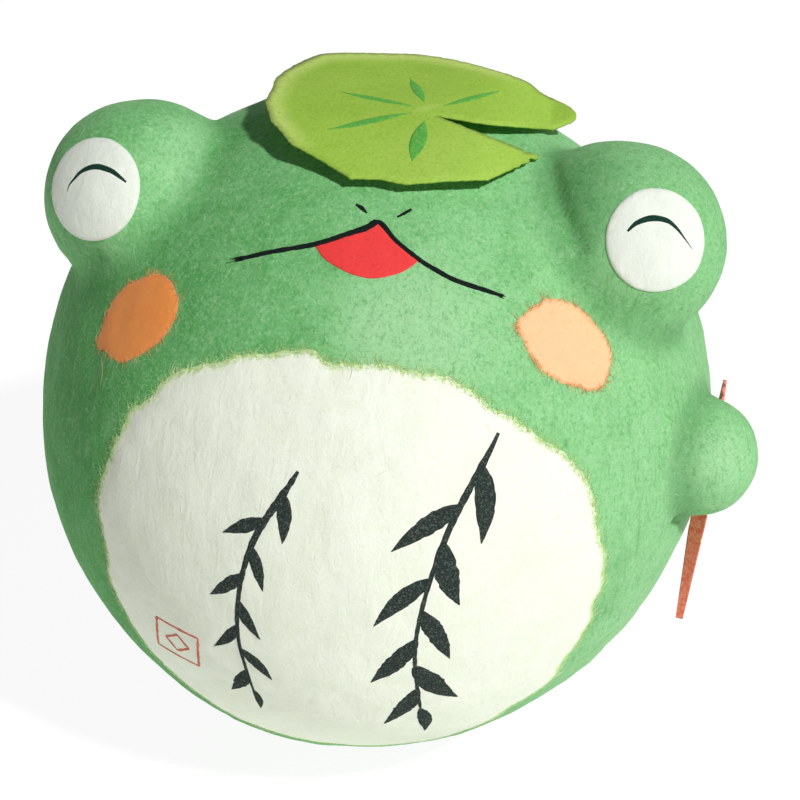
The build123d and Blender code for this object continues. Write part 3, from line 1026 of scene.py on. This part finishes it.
twigs = twig(belly, [(17.0, 23.0), (12.0, 12.0), (9.5, -2.0), (10.5, -17.0)], (9.0, 2.9), 100)
twigs += twig(belly, [(-5.5, 19.0), (-10.5, 9.0), (-12.0, -3.0), (-10.0, -16.0)], (6.0, 1.9), 200)
add_mesh("willow_twigs", *gather(twigs), "black_ink", belly_ink_material, ("belly_twigs",))

SEAL_CENTRE = np.array([-20.0, -11.0])
SEAL_HALF = 2.85
DIAMOND_HALF = 1.6
corners = SEAL_CENTRE + SEAL_HALF * np.array([(-1, 1), (1, 1), (1, -1), (-1, -1), (-1, 1)])
diamond = SEAL_CENTRE + DIAMOND_HALF * np.array([(0, 1), (1, 0), (0, -1), (-1, 0), (0, 1)])
seal_lines = [
    drawn(belly, [a, (a + b) / 2, b], [0.34, 0.42, 0.34], 24, 300 + i, ON_PAPER, 0.16)
    for i, (a, b) in enumerate([*zip(corners[:-1], corners[1:]), *zip(diamond[:-1], diamond[1:])])]
add_mesh("seal_frame", *gather(seal_lines), "red_ink", seal_material, ("belly_seal",))

LEAF_CENTRE = np.array([5.0, -8.6])
LEAF_TOP = 46.35
LEAF_BEND = 84.0        # radius of the card's bend
CARD = 0.4
LEAF_FRONT = [
    (1.0, -0.8), (13.7, -7.4), (12.4, -8.9), (10.5, -10.6), (8.4, -12.5), (3.5, -13.4),
    (-1.0, -14.6), (-4.0, -14.2), (-7.3, -14.7), (-11.2, -12.1), (-14.9, -10.1), (-18.0, -5.8),
    (-19.4, -1.8),
]
LEAF_REAR = [
    (-19.4, -1.8), (-19.1, 0.9), (-18.9, 5.0), (-16.5, 10.5), (-13.4, 13.8), (-4.9, 16.0),
    (-0.9, 16.0), (6.0, 14.1), (10.8, 11.2), (13.2, 7.9), (16.9, 4.5), (17.5, 1.7), (15.1, -1.1),
]
FRONT_DROOP, FRONT_REACHED = 1.15, 14.7
SIDE_DROOPS = {-1: (0.7, 14.4, 2), 1: (3.0, 18.0, 4)}    # depth, where it is reached, power
OFF_THE_RIM = 9.0       # farther from the edge than where the rim curls


def on_leaf(flat, gap, lift):
    """Points over the leaf's top face. Its rear rim curls up; its front and sides droop."""
    y = flat[:, 1] + LEAF_CENTRE[1]
    z = LEAF_TOP - y ** 2 / (2 * LEAF_BEND)
    angle = np.degrees(np.arctan2(flat[:, 1], flat[:, 0]))
    rear_left = smooth((np.cos(np.radians(angle - 145)) - 0.05) / 0.5)
    z = z + 0.25 * np.clip(1 - gap / 3.2, 0, 1) ** 2 * rear_left
    z = z + flat_waves(Waves(91, 30, 7, 18, 0.07), flat)
    points = np.concatenate([flat + LEAF_CENTRE, (z + lift)[:, None]], -1)
    droop = FRONT_DROOP * np.clip(-flat[:, 1] / FRONT_REACHED, 0, 1.1) ** 2
    for side, (depth, reached, power) in SIDE_DROOPS.items():
        out = np.clip(side * points[:, 0] / reached, 0, 19.5 / 18)
        droop = droop + depth * out ** power
    toward_eye = unit(EYE - points)
    return points - toward_eye * (droop / toward_eye[:, 2])[:, None]


def make_leaf():
    front = evenly(LEAF_FRONT, 330)[:-1]
    rear = smooth_curve(LEAF_REAR, 260)[:-1]
    back = evenly([LEAF_REAR[-1], (7.3, -1.4), LEAF_FRONT[0]], 60)[:-1]
    edge = ragged(np.concatenate([front, rear, back]), 92, 0.03, 0.5, 1.2)
    frayed = ragged(edge, 93, 0.20, 0.5, 1.3)
    tip = smooth((edge[:, 0] - 10.5) / 2) * (edge[:, 1] < -5)
    edge = edge + (frayed - edge) * tip[:, None]
    flat, triangles, gap = fill(edge, 0.55, (0.12, 0.3))
    round_off = 0.09 * (1 - smooth(gap / 0.2))
    top = on_leaf(flat, gap, -round_off)
    bottom = on_leaf(flat, gap, round_off - CARD)
    out = np.linalg.norm(flat, axis=-1)
    angle = np.degrees(np.arctan2(flat[:, 1], flat[:, 0]))
    # The mark 'pale': a paler band along the rear-left rim, partly the card's own paler rim and
    # partly painted light that the curled rim catches, and a slightly paler front lobe.
    rear_left = smooth((np.cos(np.radians(angle - 132)) + 0.1) / 0.5)
    front_lobe = smooth((np.cos(np.radians(angle + 60)) - 0.3) / 0.6) * smooth((out - 2) / 4)
    pale = np.maximum(rear_left * (1 - smooth((gap - 0.8) / 2.2)) * 0.8, front_lobe * 0.12)
    add_mesh("leaf", *slab(top, bottom, triangles), "leaf_card", leaf_material, ("lotus_leaf",),
             {"pale": np.concatenate([pale, pale])})


# Angle, distances of the two ends from the leaf's centre, and width
VEINS = [(110, 2.0, 8.9, 1.4), (167, 1.9, 11.1, 1.1), (209, 2.3, 12.9, 1.2), (266, 2.5, 10.5, 2.2),
         (41, 2.2, 10.6, 1.1)]
# Across, as a part of the half width, and height over the card
VEIN_COLUMNS = [(-1, -0.02), (-0.7, 0.03), (0, 0.035), (0.7, 0.03), (1, -0.02), (0, -0.1)]


def make_veins():
    """Painted veins: slim lens shapes laid on the leaf."""
    made = []
    for angle, start, end, width in VEINS:
        way, aside = turned(math.radians(angle))
        t = np.linspace(0, 1, 30)
        half = width / 2 * np.sin(math.pi * np.clip(t, 0.02, 0.98)) ** 0.9
        rings = []
        for across, lift in VEIN_COLUMNS:
            flat = way * (start + (end - start) * t)[:, None] + aside * (across * half)[:, None]
            rings.append(on_leaf(flat, np.full(len(flat), OFF_THE_RIM), lift))
        made.append((np.stack(rings, 1)[:, ::-1].reshape(-1, 3),
                     tube_faces(len(t), len(VEIN_COLUMNS))))
    add_mesh("painted_veins", *gather(made), "leaf_ink", vein_material, ("leaf_veins",))


make_leaf()
make_veins()

FAN_PIVOT = (-0.3, -24.4)
FAN_RADIUS = 33.0
FAN_STAND = 0.1
FAN_ANGLES = (90.0, 12.0)
FAN_PLEATS = 18
FAN_SHEET = 0.16


def make_fan():
    """Pleated paper fan; the folds on its inner side are pressed flat against the body."""
    side = Plane(-3.0, 85.3)
    tangent = np.linalg.norm(side.z * BALL) + FAN_STAND
    folds = np.linspace(*FAN_ANGLES, FAN_PLEATS + 1)
    radii = np.linspace(0.8, FAN_RADIUS, 60)
    rows = []
    for angle, up in zip(folds, (-1.0) ** np.arange(FAN_PLEATS + 1)):
        way, _ = turned(math.radians(angle))
        flat = np.array(FAN_PIVOT) + radii[:, None] * way
        depth = 0.75 + 0.07 * radii - 0.17 * np.clip(radii - 17, 0, None)
        rows.append(side.point(flat) + (tangent + up * depth / 2)[:, None] * side.z)
    sheet = np.stack(rows)
    for _ in range(6):
        near = np.clip(FAN_SHEET + 0.12 - distance(sheet), 0, None)
        sheet = sheet + near[..., None] * side.z
    count = sheet.shape[0] * sheet.shape[1]
    corner = np.arange(count).reshape(sheet.shape[:2])
    outer, inner = sheet + FAN_SHEET / 2 * side.z, sheet - FAN_SHEET / 2 * side.z
    face = np.stack([corner[:-1, :-1], corner[:-1, 1:], corner[1:, 1:], corner[1:, :-1]], -1)
    over = face.reshape(-1, 4)
    rim = np.concatenate([corner[0, :], corner[1:, -1], corner[-1, -2::-1], corner[-2:0:-1, 0]])
    sides = np.stack([np.roll(rim, -1), rim, rim + count, np.roll(rim, -1) + count], -1)
    faces = np.concatenate([over, over[:, ::-1] + count, sides])
    points = np.concatenate([outer.reshape(-1, 3), inner.reshape(-1, 3)])
    add_mesh("paper_fan", points, faces, "fan_paper", fan_material, ("fan",), soft=False)


make_fan()

FLOOR_SIZE = 3.0
SKY_FILL = 0.06
KEY_TOWARD = (0.50, 0.36, 0.788)    # along the camera's right, up and back
KEY_STRENGTH = 3.02
KEY_ANGLE = 4.0


def seen_directly(nodes):
    """1 for what the camera sees, also in a mirror or through glass."""
    path = nodes.add("ShaderNodeLightPath").outputs
    value = nodes.maths("MAXIMUM", path["Is Camera Ray"], path["Is Glossy Ray"])
    return nodes.maths("MAXIMUM", value, path["Is Transmission Ray"])


def glowing(look, colour, strength):
    """Matt paint that also gives light."""
    paint = look.add("ShaderNodeBsdfDiffuse", None, {"Color": (*colour, 1)})
    glow = look.add("ShaderNodeEmission", None, {"Color": (1, 1, 1, 1), "Strength": strength})
    return look.add("ShaderNodeAddShader", None, {0: paint.outputs[0], 1: glow.outputs[0]})


def make_floor():
    mesh = bpy.data.meshes.new("floor")
    h = FLOOR_SIZE / 2
    mesh.from_pydata([(-h, -h, 0), (h, -h, 0), (h, h, 0), (-h, h, 0)], [], [(0, 1, 2, 3)])
    floor = add_object("floor", mesh)
    look = Look("floor")
    bounce, white = glowing(look, (0.80, 0.81, 0.78), 0.30), glowing(look, (0.12, 0.12, 0.12), 0.93)
    mix = look.add("ShaderNodeMixShader", None, {
        0: seen_directly(look), 1: bounce.outputs[0], 2: white.outputs[0]})
    look.add("ShaderNodeOutputMaterial", None, {"Surface": mix.outputs[0]})
    mesh.materials.append(look.material)


def make_world():
    world = bpy.data.worlds.new("studio")
    bpy.context.scene.world = world
    world.use_nodes = True
    nodes = Nodes(world.node_tree)
    amount = nodes.add("ShaderNodeMapRange", None, {
        "Value": seen_directly(nodes), "To Min": SKY_FILL, "To Max": 1.0})
    sky = nodes.add("ShaderNodeBackground", None, {
        "Color": (1, 1, 1, 1), "Strength": amount.outputs[0]})
    nodes.add("ShaderNodeOutputWorld", None, {"Surface": sky.outputs[0]})


def make_sun():
    data = bpy.data.lights.new("key", "SUN")
    data.energy, data.angle = KEY_STRENGTH, math.radians(KEY_ANGLE)
    lamp = add_object("key", data)
    lamp.rotation_mode = "QUATERNION"
    way = unit(KEY_TOWARD[0] * RIGHT + KEY_TOWARD[1] * UP + KEY_TOWARD[2] * BACK)
    lamp.rotation_quaternion = Vector(way).to_track_quat("Z", "Y")


def make_camera():
    data = bpy.data.cameras.new("camera")
    data.sensor_width = 36.0
    data.lens = data.sensor_width * CAMERA_FOCAL / PICTURE
    data.clip_start, data.clip_end = 0.01, 20.0
    camera = add_object("camera", data)
    place = (EYE + (0, 0, CENTRE_HEIGHT)) * MM
    rows = np.stack([RIGHT, UP, BACK, place], -1)
    camera.matrix_world = Matrix([*rows.tolist(), (0, 0, 0, 1)])
    bpy.context.scene.camera = camera


make_floor()
make_world()
make_sun()
make_camera()
bpy.context.scene.view_settings.view_transform = "Standard"
